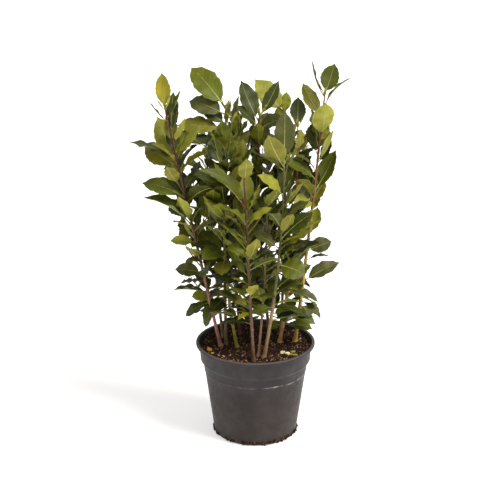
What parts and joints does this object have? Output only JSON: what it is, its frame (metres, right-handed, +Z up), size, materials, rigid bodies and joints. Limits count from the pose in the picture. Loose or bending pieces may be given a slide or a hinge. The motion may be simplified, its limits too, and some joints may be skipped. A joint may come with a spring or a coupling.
{
  "type": "potted bay laurel",
  "caption": "Young evergreen bay shrub of slender upright leafy stems growing close together from compost in a round tapered plastic nursery pot.",
  "frame": {"origin": "centre of the pot's flat underside, on the surface that it stands on", "axes": "+Z up along the pot's axis; the picture looks along +Y, slightly downward, and +X is to the right in it"},
  "size_m": [0.2346, 0.1534, 0.4148],
  "materials": {
    "pot_plastic": "matt, dark warm grey",
    "compost": "loose, dark brown, moist",
    "bark": "smooth young bark",
    "leaf": "leathery, slightly glossy, olive green"
  },
  "bodies": {
    "root": {"pot": "pot_plastic", "compost": "compost", "stem_01": "bark", "stem_02": "bark", "stem_03": "bark", "stem_04": "bark", "stem_05": "bark", "stem_06": "bark", "stem_07": "bark", "stem_08": "bark", "stem_09": "bark", "stem_10": "bark", "stem_11": "bark", "stem_12": "bark", "leaves_01": "leaf", "leaves_02": "leaf", "leaves_03": "leaf", "leaves_04": "leaf", "leaves_05": "leaf", "leaves_06": "leaf", "leaves_07": "leaf", "leaves_08": "leaf", "leaves_09": "leaf", "leaves_10": "leaf", "leaves_11": "leaf", "leaves_12": "leaf"}
  },
  "joints": []
}
